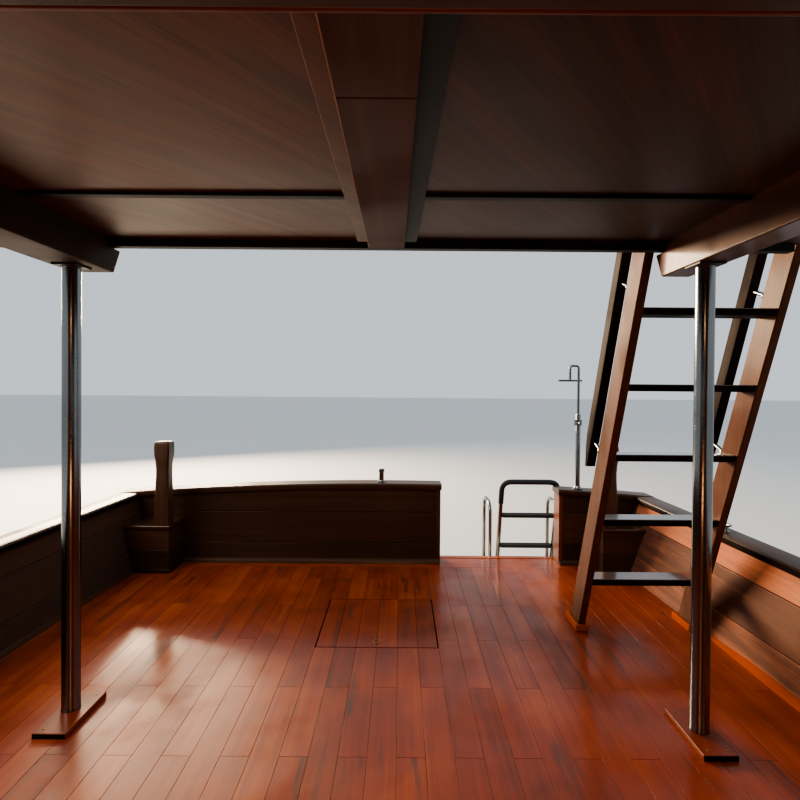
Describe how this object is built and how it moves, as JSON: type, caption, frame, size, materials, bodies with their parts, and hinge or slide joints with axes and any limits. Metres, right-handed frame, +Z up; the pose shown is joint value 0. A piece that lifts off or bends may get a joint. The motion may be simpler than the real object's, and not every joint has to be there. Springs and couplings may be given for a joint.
{
  "type": "wooden two-deck motor boat",
  "caption": "Wooden motor boat with a covered after deck, deckhouse, upper deck with rails, companion ladder, swim platform, screw and rudder.",
  "frame": {"origin": "on the waterline, amidships on the centreline", "axes": "+X to the bow, +Y to port, +Z up"},
  "size_m": [16.1652, 4.5888, 6.061],
  "materials": {
    "hull_paint": "semi-gloss paint on planks",
    "bottom_paint": "matt bottom paint",
    "dark_paint": "dark semi-matt paint",
    "deck_varnish": "glossy varnished planks",
    "dark_varnish": "dark satin varnish",
    "warm_varnish": "warm satin varnish",
    "plywood": "stained satin plywood",
    "stainless": "polished stainless steel",
    "bronze": "cast bronze",
    "glass": "clear glass, lightly tinted",
    "grip": "black rubber grip"
  },
  "bodies": {
    "boat": {"hull": "hull_paint", "aft_deck": "deck_varnish", "house_sole": "deck_varnish", "bulwark_starboard": "dark_varnish", "bulwark_port": "dark_varnish", "cap_rail_starboard": "dark_varnish", "cap_rail_port": "dark_varnish", "rub_rail_starboard": "dark_paint", "rub_rail_port": "dark_paint", "breasthook": "dark_varnish", "transom_starboard": "dark_varnish", "transom_port": "dark_varnish", "quarter_box_starboard": "dark_varnish", "quarter_box_port": "dark_varnish", "bollard_starboard": "dark_varnish", "bollard_port": "dark_varnish", "post_pad_starboard": "warm_varnish", "post_pad_port": "warm_varnish", "roof_post_starboard": "stainless", "roof_post_port": "stainless", "upper_deck": "plywood", "side_beam_starboard": "warm_varnish", "side_beam_port": "warm_varnish", "centre_beam": "dark_paint", "guard_rail_port": "stainless", "guard_rail_starboard": "stainless", "guard_rail_aft": "stainless", "guard_rail_fore": "stainless", "mast": "stainless", "house_side_starboard": "warm_varnish", "house_side_port": "warm_varnish", "side_glass_starboard": "glass", "side_glass_port": "glass", "house_aft": "dark_varnish", "house_front": "warm_varnish", "windscreen": "glass", "helm_console": "warm_varnish", "bench_starboard": "warm_varnish", "bench_port": "warm_varnish", "companion_ladder": "warm_varnish", "ladder_handrail_starboard": "dark_varnish", "ladder_handrail_port": "dark_varnish", "swim_platform": "warm_varnish", "boarding_hoop_starboard": "stainless", "boarding_hoop_port": "stainless", "swim_ladder_bracket": "stainless", "shower_post": "stainless", "keel": "bottom_paint", "fore_hatch_coaming": "warm_varnish", "bow_bitt": "dark_varnish"},
    "aft_lid": {"aft_hatch_lid": "deck_varnish"},
    "fore_lid": {"fore_hatch_lid": "warm_varnish"},
    "door_port": {"side_door_port": "warm_varnish"},
    "door_starboard": {"side_door_starboard": "warm_varnish"},
    "boarding_ladder": {"swim_ladder": "stainless"},
    "screw": {"propeller": "bronze"},
    "steering": {"rudder": "bottom_paint"},
    "wheel": {"helm_wheel": "dark_varnish"}
  },
  "joints": [
    {"name": "propeller_spin", "type": "hinge", "parent": "boat", "child": "screw", "pos_m": [-6.09, 0, -0.63], "axis": [1, 0, 0], "continuous": true},
    {"name": "rudder_turn", "type": "hinge", "parent": "boat", "child": "steering", "pos_m": [-6.62, 0, -0.6], "axis": [0, 0, 1], "range_deg": [-35, 35]},
    {"name": "helm_turn", "type": "hinge", "parent": "boat", "child": "wheel", "pos_m": [1.68, -0.75, 1.72], "axis": [1, 0, 0], "range_deg": [-380, 380]},
    {"name": "swim_ladder_fold", "type": "hinge", "parent": "boat", "child": "boarding_ladder", "pos_m": [-7.775, 1.215, 0.86], "axis": [0, -1, 0], "range_deg": [0, 184]},
    {"name": "aft_hatch_open", "type": "hinge", "parent": "boat", "child": "aft_lid", "pos_m": [-6.567, -0.0175, 1.002], "axis": [0, -1, 0], "range_deg": [0, 95]},
    {"name": "fore_hatch_open", "type": "hinge", "parent": "boat", "child": "fore_lid", "pos_m": [4.9144, 0, 1.6445], "axis": [0, 1, 0], "range_deg": [0, 95]},
    {"name": "door_port_slide", "type": "slide", "parent": "boat", "child": "door_port", "axis": [-1, 0, 0], "range_m": [0, 0.7]},
    {"name": "door_starboard_slide", "type": "slide", "parent": "boat", "child": "door_starboard", "axis": [-1, 0, 0], "range_m": [0, 0.7]}
  ],
  "couplings": [
    {"joint": "helm_turn", "follows": "rudder_turn", "ratio": 10.8}
  ]
}
